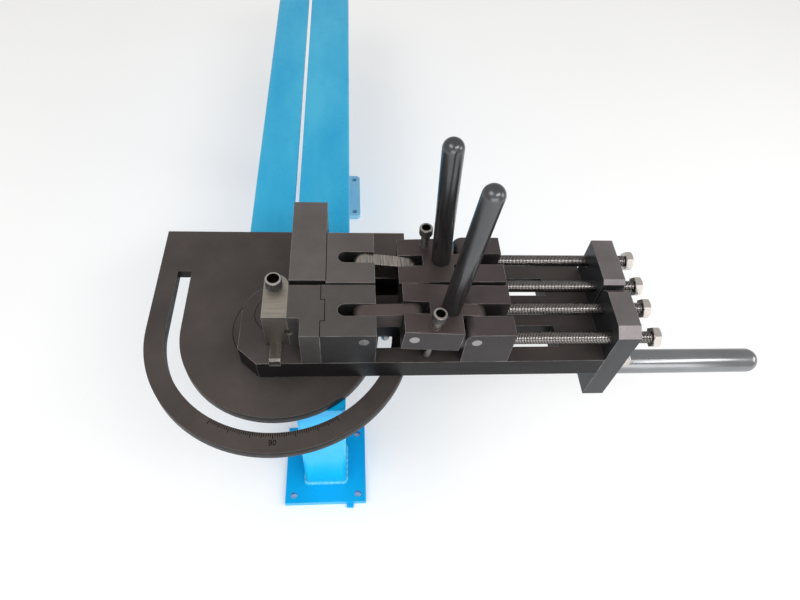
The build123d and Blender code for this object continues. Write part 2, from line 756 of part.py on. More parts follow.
def pressure_die():
    """Long die that backs the tube while it is drawn forward; a hidden key sets it into the slide."""
    key_front, key_back, key_low, key_high = PRESSURE_KEY
    face = BEND_RADIUS + DIE_GAP
    with BuildPart() as die:
        with BuildSketch(plan(PRESSURE_DIE_BOTTOM)):
            block(face, PRESSURE.slide_left, PRESSURE_DIE_FRONT, PRESSURE_DIE_BACK)
        extrude(amount=PRESSURE.slide_top - PRESSURE_DIE_BOTTOM)
        with BuildSketch(section(PRESSURE.slide_left)):
            block(key_front, key_back, key_low, key_high)
        extrude(amount=DIE_TENON_DEPTH)
        with BuildSketch(elevation(PRESSURE_DIE_BACK)):
            with Locations((BEND_RADIUS, TUBE_HEIGHT)):
                Circle(TUBE_GROOVE)
        extrude(amount=PRESSURE_DIE_BACK - PRESSURE_DIE_FRONT, mode=Mode.SUBTRACT)
    return die


# ---------------------------------------------------------------- toggle units
def half_foot_width(unit):
    """Half the width of the part of a block that runs in the way."""
    return unit.way_width / 2 - SLIDE_GAP


def slide(unit):
    """Block that carries the die along the way and takes the link's thrust."""
    low = ARM_TOP + SLIDE_GAP
    keeper_top = WAY_STEP - SLIDE_GAP
    front = unit.axis - unit.slide_width / 2
    back = unit.axis + unit.slide_width / 2
    foot_half = half_foot_width(unit)
    slot_half = LINK_SLOT_WIDTH / 2
    with BuildPart() as body:
        with BuildSketch(plan(low)):
            block(unit.slide_left, SLIDE_RIGHT, front, back)
        extrude(amount=unit.slide_top - low)
        with BuildSketch(plan(low)):
            foot_ends = (unit.slide_foot_left, SLIDE_FOOT_RIGHT)
            block(*foot_ends, unit.axis - foot_half, unit.axis + foot_half)
        extrude(amount=keeper_top - low)
        with BuildSketch(plan(unit.slide_top)):
            slot_sides = (unit.axis - slot_half, unit.axis + slot_half)
            block(LINK_SLOT_START + slot_half, SLIDE_RIGHT, *slot_sides)
            with Locations((LINK_SLOT_START + slot_half, unit.axis)):
                Circle(slot_half)
        extrude(amount=LINK_SLOT_FLOOR - unit.slide_top, mode=Mode.SUBTRACT)
        with BuildSketch(elevation(unit.axis)):
            with Locations((SLIDE_PIN_X, unit.slide_pin_z)):
                Circle(PIN_RADIUS)
        extrude(amount=unit.slide_width, both=True, mode=Mode.SUBTRACT)
        with BuildSketch(plan(keeper_top)):
            with Locations(*keeper_screw_points(unit, *foot_ends)):
                Circle(M8)
        extrude(amount=BLOCK_SCREW_DEPTH, mode=Mode.SUBTRACT)
        if unit is CLAMP:
            with BuildSketch(plan(low)):
                block(unit.slide_left, unit.slide_left + DIE_TENON_DEPTH, *tenon_sides(unit))
            extrude(amount=unit.slide_top - low, mode=Mode.SUBTRACT)
        else:
            with BuildSketch(section(unit.slide_left)):
                block(*PRESSURE_KEY)
            extrude(amount=DIE_TENON_DEPTH, mode=Mode.SUBTRACT)
    return body


def fork(unit):
    """Clevis block that holds the lever's pivot and takes the adjusting bolts."""
    low = ARM_TOP + SLIDE_GAP
    keeper_top = WAY_STEP - SLIDE_GAP
    foot_half = half_foot_width(unit)
    foot_left, foot_right = FORK_LEFT + FORK_FOOT_MARGIN, FORK_RIGHT - FORK_FOOT_MARGIN
    with BuildPart() as body:
        with BuildSketch(elevation(unit.axis)) as side:
            block(FORK_LEFT, FORK_RIGHT, low, FORK_TOP)
            top_left = side.vertices().group_by(Axis.Y)[-1].sort_by(Axis.X)[0]
            fillet(top_left, FORK_CORNER_RADIUS)
        extrude(amount=FORK_WIDTH / 2, both=True)
        with BuildSketch(plan(low)):
            block(foot_left, foot_right, unit.axis - foot_half, unit.axis + foot_half)
        extrude(amount=keeper_top - low)
        with BuildSketch(plan(FORK_SLOT_FLOOR)):
            slot_half = FORK_SLOT_WIDTH / 2
            block(FORK_LEFT, FORK_RIGHT, unit.axis - slot_half, unit.axis + slot_half)
        extrude(amount=FORK_TOP - FORK_SLOT_FLOOR, mode=Mode.SUBTRACT)
        with BuildSketch(elevation(unit.axis)):
            with Locations((FORK_PIN_X, FORK_PIN_Z)):
                Circle(PIN_RADIUS)
        extrude(amount=FORK_WIDTH, both=True, mode=Mode.SUBTRACT)
        with BuildSketch(section(FORK_RIGHT)):
            with Locations(*bolt_points(unit)):
                Circle(M16 + SLIDE_GAP)
        extrude(amount=-BOLT_POCKET, mode=Mode.SUBTRACT)
        with BuildSketch(plan(keeper_top)):
            with Locations(*keeper_screw_points(unit, foot_left, foot_right)):
                Circle(M8)
        extrude(amount=BLOCK_SCREW_DEPTH, mode=Mode.SUBTRACT)
    return body


def keeper_screw_points(unit, left, right):
    """Two screws in line along the way, or side by side where the block is short."""
    middle = (left + right) / 2
    edge_distance, widest_reach, side_reach = 12, 13, 8
    reach = min(widest_reach, (right - left) / 2 - edge_distance)
    if reach < side_reach / 2:
        return [(middle, unit.axis - side_reach), (middle, unit.axis + side_reach)]
    return [(middle - reach, unit.axis), (middle + reach, unit.axis)]


def keeper(unit, left, right):
    """Plate in the wide part of the way that holds its block down."""
    half = unit.way_width / 2 + WAY_UNDERCUT - SLIDE_GAP
    top = WAY_STEP - SLIDE_GAP
    with BuildPart() as plate:
        with BuildSketch(plan(KEEPER_BOTTOM)):
            block(left, right, unit.axis - half, unit.axis + half)
            with Locations(*keeper_screw_points(unit, left, right)):
                Circle(M8, mode=Mode.SUBTRACT)
        extrude(amount=top - KEEPER_BOTTOM)
        with Locations(underside(KEEPER_BOTTOM)):
            with Locations(*[(x, -y) for x, y in keeper_screw_points(unit, left, right)]):
                Cone(M8, 2 * M8, M8, align=(Align.CENTER, Align.CENTER, Align.MAX), mode=Mode.SUBTRACT)
    return plate


def keeper_screws(unit, left, right):
    points = [(x, -y) for x, y in keeper_screw_points(unit, left, right)]
    return countersunk_screws(underside(KEEPER_BOTTOM), points, M8, BLOCK_SCREW_LENGTH)


def lever_block(unit):
    """Tilting block: fork tongue on the right, link slot on the left, handle and stop on top."""
    pose = lever_plane(unit, unit.axis)
    top_face = Plane(pose.from_local_coords((0, LEVER_TOP, 0)), x_dir=pose.x_dir, z_dir=pose.y_dir)
    slot_right = LEVER_LEFT + LEVER_SLOT_DEPTH
    with BuildPart() as body:
        with BuildSketch(pose):
            block(LEVER_LEFT, LEVER_RIGHT, LEVER_BOTTOM, LEVER_TOP)
        extrude(amount=LEVER_WIDTH / 2, both=True)
        with BuildSketch(pose):
            block(LEVER_RIGHT, 0, -TONGUE_RADIUS, TONGUE_RADIUS)
            Circle(TONGUE_RADIUS)
        extrude(amount=TONGUE_THICK / 2, both=True)
        with BuildSketch(pose):
            block(LEVER_LEFT, slot_right, LEVER_BOTTOM, LEVER_TOP)
        extrude(amount=LINK_SLOT_WIDTH / 2, both=True, mode=Mode.SUBTRACT)
        with BuildSketch(pose):
            Circle(PIN_RADIUS + RUNNING_FIT)
        extrude(amount=TONGUE_THICK, both=True, mode=Mode.SUBTRACT)
        with BuildSketch(pose):
            with Locations((-LEVER_ARM, 0)):
                Circle(PIN_RADIUS)
        extrude(amount=LEVER_WIDTH, both=True, mode=Mode.SUBTRACT)
        with BuildSketch(top_face):
            with Locations((unit.handle_place, 0)):
                Circle(M16)
        extrude(amount=-HANDLE_STUD, mode=Mode.SUBTRACT)
        with BuildSketch(top_face):
            with Locations((STOP_PLACE, unit.stop_y - unit.axis)):
                Circle(M12)
        extrude(amount=LEVER_BOTTOM - LEVER_TOP, mode=Mode.SUBTRACT)
    return body


def lever_handle(unit):
    pose = lever_plane(unit, unit.axis)
    foot_point = pose.from_local_coords((unit.handle_place, LEVER_TOP, 0))
    root = Plane(foot_point, x_dir=pose.x_dir, z_dir=pose.z_dir)
    return grip(root, HANDLE_RADIUS, unit.handle_length, M16, HANDLE_STUD)


def stop_screw(unit):
    """Long cap screw through the lever block; its tip meets the way's top face when clamped."""
    turn = math.radians(unit.tilt)
    rim_drop = M12 * math.sin(abs(turn))
    tip_height = ARM_TOP + SLIDE_GAP + rim_drop - FORK_PIN_Z
    tip = (tip_height + STOP_PLACE * math.sin(turn)) / math.cos(turn)
    pose = lever_plane(unit, unit.stop_y)
    head_point = pose.from_local_coords((STOP_PLACE, tip + STOP_LENGTH, 0))
    seat = Plane(head_point, x_dir=pose.x_dir, z_dir=pose.y_dir)
    return cap_screws(seat, [(0, 0)], M12, STOP_LENGTH)


def link_pin(unit):
    x, z = link_pin_place(unit)
    return pin_through(unit.axis, LEVER_WIDTH / 2, x, z)


def link(unit):
    """Flat link; its long eye gives the slide pin the lost motion that the toggle needs."""
    far_x, far_z = link_pin_place(unit)
    run, rise = far_x - SLIDE_PIN_X, far_z - unit.slide_pin_z
    length = math.hypot(run, rise)
    near = (SPINDLE_X + SLIDE_PIN_X, SPINDLE_Y + unit.axis, TABLE_HEIGHT + unit.slide_pin_z)
    pose = Plane(near, x_dir=(run / length, 0, rise / length), z_dir=(0, -1, 0))
    with BuildPart() as bar:
        with BuildSketch(pose):
            with Locations((length / 2, 0)):
                SlotCenterToCenter(length, 2 * LINK_RADIUS)
            with Locations((length, 0)):
                Circle(PIN_RADIUS + RUNNING_FIT, mode=Mode.SUBTRACT)
            with Locations((LINK_EYE_TRAVEL / 2, -LINK_EYE_DROP)):
                SlotCenterToCenter(LINK_EYE_TRAVEL, 2 * LINK_EYE_RADIUS, mode=Mode.SUBTRACT)
        extrude(amount=LINK_THICK / 2, both=True)
    return bar


def adjusting_bolt(y):
    """Fully threaded hexagon bolt along the arm; its nose sits in the fork's pocket."""
    nose = FORK_RIGHT - BOLT_POCKET + SLIDE_GAP
    with BuildPart() as bolt:
        with BuildSketch(section(nose)):
            with Locations((y, BOLT_HEIGHT)):
                Circle(M16 - RUNNING_FIT)
        extrude(amount=BOLT_SEAT - nose)
        chamfer(bolt.edges().sort_by(Axis.X)[0], NOSE_CHAMFER)
        with BuildSketch(section(BOLT_SEAT)):
            with Locations((y, BOLT_HEIGHT)):
                RegularPolygon(BOLT_HEAD_FLATS / 2, 6, major_radius=False, rotation=30)
        extrude(amount=BOLT_HEAD_HEIGHT)
    return bolt


# ---------------------------------------------------------------- the whole machine
def save_unit(unit, die):
    """Write every piece of one toggle unit."""
    fork_foot = (FORK_LEFT + FORK_FOOT_MARGIN, FORK_RIGHT - FORK_FOOT_MARGIN)
    slide_foot = (unit.slide_foot_left, SLIDE_FOOT_RIGHT)
    slide_pin = pin_through(unit.axis, unit.slide_width / 2, SLIDE_PIN_X, unit.slide_pin_z)
    save(die, f"{unit.name}_die")
    save(slide(unit), f"{unit.name}_slide")
    save(slide_pin, f"{unit.name}_slide_pin")
    save(keeper(unit, *slide_foot), f"{unit.name}_slide_keeper")
    save(keeper_screws(unit, *slide_foot), f"{unit.name}_slide_keeper_screws")
    save(link(unit), f"{unit.name}_link")
    save(link_pin(unit), f"{unit.name}_link_pin")
    save(lever_block(unit), f"{unit.name}_lever_block")
    save(lever_handle(unit), f"{unit.name}_lever_handle")
    save(stop_screw(unit), f"{unit.name}_stop_screw")
    save(fork(unit), f"{unit.name}_fork")
    save(pin_through(unit.axis, FORK_WIDTH / 2, FORK_PIN_X, FORK_PIN_Z), f"{unit.name}_fork_pin")
    save(keeper(unit, *fork_foot), f"{unit.name}_fork_keeper")
    save(keeper_screws(unit, *fork_foot), f"{unit.name}_fork_keeper_screws")
    save(adjusting_bolt(unit.axis - BOLT_SPREAD), f"{unit.name}_bolt_front")
    save(adjusting_bolt(unit.axis + BOLT_SPREAD), f"{unit.name}_bolt_rear")


save(base_plate(), "base_plate")
save(hub_housing(), "hub_housing")
save(countersunk_screws(plan(0), hub_screw_points(), M6, HUB_SCREW_LENGTH), "hub_screws")
save(bush(-THRUST_SEAT - BUSH_LENGTH), "upper_bush")
save(bush(HUB_BOTTOM), "lower_bush")
save(thrust_washer(), "thrust_washer")
save(guide_plate(), "guide_plate")
guide_screw_seats = [(x, -y) for x, y in guide_screw_points()]
save(cap_screws(underside(-PLATE_THICK), guide_screw_seats, M8, GUIDE_SCREW_LENGTH), "guide_plate_screws")
save(rear_end_plate(), "rear_end_plate")
outer_face = section(ARM_END + END_PLATE_THICK)
save(cap_screws(outer_face, end_screw_points(PRESSURE), M12, END_SCREW_LENGTH), "rear_end_plate_screws")
save(rail(BED_LEFT, BED_SLOT_LEFT), "left_rail")
save(rail(BED_RIGHT, BED_SLOT_RIGHT), "right_rail")
rail_screw_seats = [(x, -y) for x, y in rail_screw_points()]
rail_screw_plane = underside(-PLATE_THICK - RAIL_WALL)
save(cap_screws(rail_screw_plane, rail_screw_seats, M8, RAIL_SCREW_LENGTH), "rail_screws")
save(rail_tie(), "rail_tie")
save(post(FRONT_POST_Y, -PLATE_THICK), "front_post")
save(post(REAR_POST_Y, -PLATE_THICK - RAIL_WALL), "rear_post")
save(foot(FRONT_POST_Y, 0, True), "front_foot")
save(foot(REAR_POST_Y, REAR_FOOT_CORNER, False), "rear_foot")

save(swing_arm(), "swing_arm")
save(spindle(), "spindle")
save(spindle_nut(), "spindle_nut")
save(arm_guide_pin(), "arm_guide_pin")
save(bend_die(), "bend_die")
save(cap_screws(plan(DIE_TOP), [(0, 0)], M14, DIE_SCREW_LENGTH), "die_screw")
save(die_key(), "die_key")
save(front_end_plate(), "front_end_plate")
save(cap_screws(outer_face, end_screw_points(CLAMP), M12, END_SCREW_LENGTH), "front_end_plate_screws")
save(main_handle(), "main_handle")

save_unit(CLAMP, clamp_die())
save_unit(PRESSURE, pressure_die())
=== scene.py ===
"""Looks for the manual tube bender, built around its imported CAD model. Metres, +Z up.

The CAD nodes keep their shapes and get procedural materials, and most get small rounded edges. The adjusting
bolts, the die screw, the stop screws and the end plates' screws are replaced by pieces with real threads.
The angle scale, the joint lines, the seams and the weld beads at the posts' feet are added.
"""

import math

import bmesh
import bpy
from mathutils import Matrix, Vector, noise

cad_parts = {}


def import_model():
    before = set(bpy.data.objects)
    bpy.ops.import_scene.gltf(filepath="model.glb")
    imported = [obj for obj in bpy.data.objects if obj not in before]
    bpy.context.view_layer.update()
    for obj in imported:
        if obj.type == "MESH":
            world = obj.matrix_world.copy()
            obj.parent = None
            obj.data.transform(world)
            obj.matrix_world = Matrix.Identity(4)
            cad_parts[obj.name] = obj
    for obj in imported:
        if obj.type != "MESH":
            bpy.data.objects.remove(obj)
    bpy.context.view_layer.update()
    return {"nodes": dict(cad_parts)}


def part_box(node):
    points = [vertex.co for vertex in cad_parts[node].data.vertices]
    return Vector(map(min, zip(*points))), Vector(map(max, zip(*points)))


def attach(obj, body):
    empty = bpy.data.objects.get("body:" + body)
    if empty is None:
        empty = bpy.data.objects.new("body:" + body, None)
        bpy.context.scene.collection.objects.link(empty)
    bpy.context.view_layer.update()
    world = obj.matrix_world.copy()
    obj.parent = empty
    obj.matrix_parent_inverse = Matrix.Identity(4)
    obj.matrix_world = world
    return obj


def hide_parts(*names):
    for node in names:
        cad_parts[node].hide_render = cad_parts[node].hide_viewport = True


MM = 0.001
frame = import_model()
nodes = frame["nodes"]


# ---------------------------------------------------------------- places worked out from the frame
def middle(name):
    low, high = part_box(name)
    return (low + high) / 2


SPINDLE = middle("spindle")
PLATE_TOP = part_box("base_plate")[1].z
ARM_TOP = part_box("swing_arm")[1].z


# ---------------------------------------------------------------- material building blocks
WORN_EDGE = 1.1 * MM  # how far wear reaches from an edge of bare or blackened steel
CHIPPED_EDGE = 0.9 * MM  # the same for paint and for polished bar
SHARP_COSINE, WORN_COSINE = 0.985, 0.86  # between the face and the rounded edge: no wear, full wear


class Shader:
    """A Principled material with short calls for the nodes that the looks use."""

    def __init__(self, name):
        self.material = bpy.data.materials.new(name)
        self.material.use_nodes = True
        self.tree = self.material.node_tree
        self.surface = self.tree.nodes["Principled BSDF"]
        self.coords = self.tree.nodes.new("ShaderNodeTexCoord").outputs["Object"]

    def link(self, source, target):
        self.tree.links.new(source, target)

    def set(self, socket, value):
        self.surface.inputs[socket].default_value = value

    def stretched(self, scale):
        node = self.tree.nodes.new("ShaderNodeMapping")
        node.inputs["Scale"].default_value = scale
        self.link(self.coords, node.inputs["Vector"])
        return node.outputs["Vector"]

    def noise(self, scale, detail=4.0, rough=0.5, stretch=None):
        node = self.tree.nodes.new("ShaderNodeTexNoise")
        node.inputs["Scale"].default_value = scale
        node.inputs["Detail"].default_value = detail
        node.inputs["Roughness"].default_value = rough
        self.link(self.stretched(stretch) if stretch else self.coords, node.inputs["Vector"])
        return node.outputs["Fac"]

    def remap(self, source, low, high, to_low=0.0, to_high=1.0):
        node = self.tree.nodes.new("ShaderNodeMapRange")
        node.inputs["From Min"].default_value = low
        node.inputs["From Max"].default_value = high
        node.inputs["To Min"].default_value = to_low
        node.inputs["To Max"].default_value = to_high
        self.link(source, node.inputs["Value"])
        return node.outputs["Result"]

    def mix(self, factor, first, second):
        node = self.tree.nodes.new("ShaderNodeMix")
        node.data_type = "RGBA"
        self.link(factor, node.inputs["Factor"])
        for value, socket in ((first, node.inputs["A"]), (second, node.inputs["B"])):
            if isinstance(value, tuple):
                socket.default_value = (*value, 1.0)
            else:
                self.link(value, socket)
        return node.outputs["Result"]

    def math(self, operation, first, second):
        node = self.tree.nodes.new("ShaderNodeMath")
        node.operation = operation
        for value, socket in zip((first, second), node.inputs):
            if isinstance(value, float):
                socket.default_value = value
            else:
                self.link(value, socket)
        return node.outputs["Value"]

    def facing_up(self):
        """1 on faces that look up, 0 on upright ones."""
        geometry = self.tree.nodes.new("ShaderNodeNewGeometry")
        split = self.tree.nodes.new("ShaderNodeSeparateXYZ")
        self.link(geometry.outputs["Normal"], split.inputs["Vector"])
        return self.remap(split.outputs["Z"], 0.2, 0.8)

    def worn_edges(self, radius):
        """1 along sharp outer and inner edges, within about the radius."""
        bevel = self.tree.nodes.new("ShaderNodeBevel")
        bevel.samples = 4
        bevel.inputs["Radius"].default_value = radius
        geometry = self.tree.nodes.new("ShaderNodeNewGeometry")
        dot = self.tree.nodes.new("ShaderNodeVectorMath")
        dot.operation = "DOT_PRODUCT"
        self.link(bevel.outputs["Normal"], dot.inputs[0])
        self.link(geometry.outputs["Normal"], dot.inputs[1])
        return self.remap(dot.outputs["Value"], SHARP_COSINE, WORN_COSINE)

    def bump(self, height, strength, distance):
        node = self.tree.nodes.new("ShaderNodeBump")
        node.inputs["Strength"].default_value = strength
        node.inputs["Distance"].default_value = distance
        self.link(height, node.inputs["Height"])
        self.link(node.outputs["Normal"], self.surface.inputs["Normal"])

    def color(self, source):
        self.link(source, self.surface.inputs["Base Color"])

    def roughness(self, source):
        self.link(source, self.surface.inputs["Roughness"])


def black_oxide(name, top, side, grain, rough=0.44, wear=0.85, lines=0.2):
    """Blackened milled steel: browner and lighter on top, with the upright faces darker as painted shade, and
    faint tool lines stretched by the grain.
    """
    m = Shader(name)
    cloud = m.noise(14.0, 6.0, 0.6)
    tool_lines = m.noise(60.0, 3.0, 0.6, stretch=grain)
    speck = m.noise(900.0, 2.0, 0.5)
    # upright faces take the darker side colour and tops the lighter top colour: painted shade on the upright
    # faces
    oxide_with_painted_shade = m.mix(m.facing_up(), side, top)
    paler = m.mix(m.facing_up(), tuple(c * 1.5 for c in side), tuple(c * 1.35 for c in top))
    tone = m.mix(m.remap(cloud, 0.35, 0.7), oxide_with_painted_shade, paler)
    tone = m.mix(m.remap(speck, 0.62, 0.8, 0.0, 0.2), tone, (0.22, 0.20, 0.19))
    edge = m.math("MULTIPLY", m.worn_edges(WORN_EDGE), m.remap(m.noise(45.0, 5.0), 0.35, 0.6, 0.2, wear))
    m.color(m.mix(edge, tone, (0.52, 0.50, 0.48)))
    m.roughness(m.remap(m.math("ADD", cloud, tool_lines), 0.6, 1.4, rough - 0.1, rough + 0.06))
    m.bump(m.math("ADD", tool_lines, m.math("MULTIPLY", speck, 0.5)), lines, 0.00004)
    m.set("Metallic", 0.5)
    m.set("Specular IOR Level", 0.25)
    return m.material


def bare_steel(name, base, grain, rough=0.3, streak=0.25, side=1.0, bright_edge=0.0, tooth=0.00003):
    """Ground or drawn steel with fine lines and a few dull patches; side scales the upright faces' colour, as
    painted shade below 1 and painted light above 1.
    """
    m = Shader(name)
    lines = m.noise(90.0, 4.0, 0.7, stretch=grain)
    patches = m.noise(22.0, 5.0, 0.6)
    dull = tuple(c * (1 - streak) for c in base)
    tone = m.mix(m.remap(lines, 0.35, 0.65), dull, base)
    stain = tuple(c * f for c, f in zip(base, (0.72, 0.66, 0.58)))
    stained = m.mix(m.remap(patches, 0.52, 0.75, 0.0, 0.55), tone, stain)
    # upright faces: the dull tone scaled by side, painted shade where side is below 1 and painted light where
    # it is above 1
    upright = tuple(c * side for c in dull)
    shaded = m.mix(m.facing_up(), upright, stained)
    edge = m.math("MULTIPLY", m.worn_edges(WORN_EDGE), m.remap(patches, 0.3, 0.6, 0.4, 1.0))
    m.color(m.mix(m.math("MULTIPLY", edge, bright_edge), shaded, (0.88, 0.86, 0.83)))
    m.roughness(m.remap(m.math("ADD", lines, patches), 0.7, 1.3, rough - 0.08, rough + 0.12))
    m.bump(lines, 0.2, tooth)
    m.set("Metallic", 1.0)
    return m.material


def turned_black(name, dark, pale, rough):
    """Polished, oiled black bar: soft clouds of tone, a very fine grain and long soft reflections."""
    m = Shader(name)
    grain = m.noise(60.0, 3.0, 0.6)
    cloud = m.noise(9.0, 3.0, 0.5)
    tone = m.mix(m.remap(cloud, 0.35, 0.7), dark, pale)
    edge = m.math("MULTIPLY", m.worn_edges(CHIPPED_EDGE), m.remap(m.noise(60.0), 0.35, 0.6, 0.2, 0.8))
    m.color(m.mix(edge, tone, (0.55, 0.56, 0.57)))
    m.roughness(m.remap(m.math("ADD", grain, cloud), 0.6, 1.4, rough - 0.03, rough + 0.05))
    m.bump(grain, 0.1, 0.000003)
    m.set("Metallic", 0.9)
    return m.material


def blue_paint(name, deep, pale):
    """Gloss enamel: soft orange peel, pale and dull patches, and paint chipped off along the edges."""
    m = Shader(name)
    haze = m.noise(5.0, 6.0, 0.62, stretch=(1.6, 0.5, 1.0))
    dust = m.noise(38.0, 6.0, 0.7)
    peel = m.noise(420.0, 2.0, 0.5)
    chips = m.noise(130.0, 3.0, 0.6)
    tone = m.mix(m.remap(haze, 0.36, 0.66), deep, pale)
    tone = m.mix(m.remap(dust, 0.55, 0.8, 0.0, 0.35), tone, tuple(c * 0.72 for c in deep))
    bare = m.math("MULTIPLY", m.worn_edges(CHIPPED_EDGE), m.remap(chips, 0.58, 0.66))
    m.color(m.mix(bare, tone, (0.22, 0.23, 0.24)))
    m.roughness(m.remap(dust, 0.3, 0.8, 0.24, 0.46))
    m.bump(m.math("ADD", peel, m.math("MULTIPLY", dust, 2.0)), 0.18, 0.00012)
    m.set("Specular IOR Level", 0.3)
    m.set("Coat Weight", 0.12)
    m.set("Coat Roughness", 0.15)
    return m.material


def bronze(name):
    """Bearing bronze, unevenly browned."""
    m = Shader(name)
    cloud = m.noise(80.0, 4.0, 0.6)
    m.color(m.mix(m.remap(cloud, 0.3, 0.7), (0.46, 0.28, 0.12), (0.62, 0.40, 0.18)))
    m.roughness(m.remap(cloud, 0.3, 0.7, 0.28, 0.42))
    m.bump(cloud, 0.15, 0.00005)
    m.set("Metallic", 1.0)
    return m.material


def weld_metal(name, base):
    """Painted weld bead: glossy, with fine ripples."""
    m = Shader(name)
    ripple = m.noise(300.0, 4.0, 0.6)
    m.color(m.mix(m.remap(ripple, 0.35, 0.7), tuple(c * 0.85 for c in base), base))
    m.roughness(m.remap(ripple, 0.3, 0.7, 0.12, 0.3))
    m.bump(ripple, 0.5, 0.0003)
    m.set("Coat Weight", 0.6)
    return m.material


def engraved(name):
    """Dark, dull bottoms of fine cuts; in the sockets the near black is painted shade."""
    m = Shader(name)
    soot = m.noise(600.0, 3.0)
    m.color(m.mix(m.remap(soot, 0.3, 0.7), (0.002, 0.002, 0.002), (0.006, 0.005, 0.005)))
    m.roughness(m.remap(soot, 0.3, 0.7, 0.75, 0.95))
    m.set("Specular IOR Level", 0.05)
    return m.material


# how a material's grain is stretched along an axis
ALONG_X, ALONG_Y, ALONG_Z = (0.15, 4.0, 4.0), (4.0, 0.15, 4.0), (4.0, 4.0, 0.15)
LONG_ALONG_X, FINE_ACROSS_X = (0.3, 5.0, 5.0), (9.0, 0.3, 0.3)
EVEN = (1.0, 1.0, 1.0)
# In these black finishes the second colour is the upright faces': darker than the top as painted shade.
MILLED = black_oxide("milled_black", (0.116, 0.104, 0.100), (0.024, 0.023, 0.024), EVEN, 0.46)
CLAMP_BLACK = black_oxide("clamp_black", (0.086, 0.080, 0.076), (0.023, 0.023, 0.024), EVEN, 0.46)
CLAMP_DIE_BLACK = black_oxide("clamp_die_black", (0.086, 0.080, 0.076), (0.050, 0.046, 0.047), EVEN, 0.46)
ARM_BLACK = black_oxide("arm_black", (0.066, 0.056, 0.053), (0.008, 0.0075, 0.008), ALONG_X, 0.5)
PLATE_BLACK = black_oxide("plate_black", (0.070, 0.058, 0.054), (0.010, 0.009, 0.009), EVEN, 0.5, 0.3)
SHEEN_BLACK = black_oxide("end_plate_black", (0.148, 0.130, 0.134), (0.032, 0.034, 0.037), ALONG_Z, 0.36)
FORK_BLACK = black_oxide("fork_black", (0.066, 0.052, 0.054), (0.026, 0.022, 0.024), EVEN, 0.42)
LEVER_BLACK = black_oxide("lever_block_black", (0.076, 0.058, 0.057), (0.028, 0.024, 0.025), EVEN, 0.4)
LINK_BLACK = black_oxide("link_black", (0.090, 0.070, 0.066), (0.050, 0.042, 0.040), ALONG_X, 0.46, 0.2)
SCREW_BLACK = black_oxide("screw_black", (0.045, 0.041, 0.040), (0.028, 0.026, 0.026), ALONG_Z, 0.36, 0.95)
LEVER_BAR = turned_black("lever_bar_black", (0.085, 0.087, 0.092), (0.125, 0.128, 0.134), 0.24)
MAIN_BAR = turned_black("main_bar_black", (0.210, 0.215, 0.222), (0.280, 0.286, 0.296), 0.22)
# GROUND's upright faces are darkened to 0.6 as painted shade, KEY_STEEL's lightened to 1.4 as painted light.
GROUND = bare_steel("ground_steel", (0.44, 0.40, 0.35), LONG_ALONG_X, 0.4, 0.25, 0.6, 0.7)
KEY_STEEL = bare_steel("key_steel", (0.26, 0.235, 0.22), ALONG_Y, 0.3, 0.3, 1.4, 1.0)
CROSS_GRAIN = bare_steel("cross_ground_steel", (0.50, 0.45, 0.41), FINE_ACROSS_X, 0.3, 0.65)
BRIGHT = bare_steel("bright_steel", (0.56, 0.55, 0.54), ALONG_Z, 0.3, 0.45)
ZINC = bare_steel("zinc_steel", (0.62, 0.58, 0.54), EVEN, 0.3, 0.1, 1.0, 0.8, tooth=0.000004)
CREST = bare_steel("thread_crest_steel", (0.54, 0.50, 0.48), EVEN, 0.26, 0.2, tooth=0.00001)
# the thread's flanks, roots and core: the same steel painted near black as painted shade in the grooves
ROOT_PAINTED_SHADE = bare_steel("thread_root_painted_shade", (0.075, 0.068, 0.066), EVEN, 0.42, 0.4)
# The screw rims' upright faces are darker than their bright tops as painted shade.
SCREW_RIM = black_oxide("screw_rim", (0.300, 0.280, 0.265), (0.022, 0.020, 0.020), EVEN, 0.3, 1.0)
# socket walls and floors painted near black: painted shade inside the recess
SOCKET_PAINTED_SHADE = engraved("socket_painted_shade")
BED_BLUE = blue_paint("bed_blue", (0.003, 0.350, 0.640), (0.050, 0.460, 0.710))
FOOT_BLUE = blue_paint("foot_blue", (0.001, 0.370, 0.780), (0.002, 0.440, 0.860))
POST_BLUE = blue_paint("post_blue", (0.001, 0.420, 0.880), (0.002, 0.530, 0.960))
REAR_FOOT_BLUE = blue_paint("rear_foot_blue", (0.210, 0.500, 0.700), (0.300, 0.580, 0.780))
BEAD_BLUE = weld_metal("bead_blue", (0.05, 0.55, 0.85))
BRONZE = bronze("bearing_bronze")
MARK = engraved("stamped_mark")


# ---------------------------------------------------------------- materials of the CAD nodes
NODE_FINISHES = {
    "base_plate": PLATE_BLACK,
    "hub_housing": PLATE_BLACK,
    "hub_screws": SCREW_BLACK,
    "swing_arm": ARM_BLACK,
    "guide_plate": ARM_BLACK,
    "spindle": ARM_BLACK,
    "spindle_nut": SCREW_BLACK,
    "front_end_plate": SHEEN_BLACK,
    "rear_end_plate": SHEEN_BLACK,
    "front_end_plate_screws": ZINC,
    "rear_end_plate_screws": ZINC,
    "main_handle": MAIN_BAR,
    "bend_die": GROUND,
    "die_key": KEY_STEEL,
    "clamp_slide": CLAMP_BLACK,
    "clamp_die": CLAMP_DIE_BLACK,
    "clamp_link": LINK_BLACK,
    "clamp_fork": FORK_BLACK,
    "clamp_lever_block": LEVER_BLACK,
    "pressure_link": CROSS_GRAIN,
    "pressure_fork": FORK_BLACK,
    "pressure_lever_block": LEVER_BLACK,
    "left_rail": BED_BLUE,
    "right_rail": BED_BLUE,
    "rail_tie": BED_BLUE,
    "front_post": POST_BLUE,
    "rear_post": POST_BLUE,
    "front_foot": FOOT_BLUE,
    "rear_foot": REAR_FOOT_BLUE,
    "upper_bush": BRONZE,
    "lower_bush": BRONZE,
    "thrust_washer": BRONZE,
}


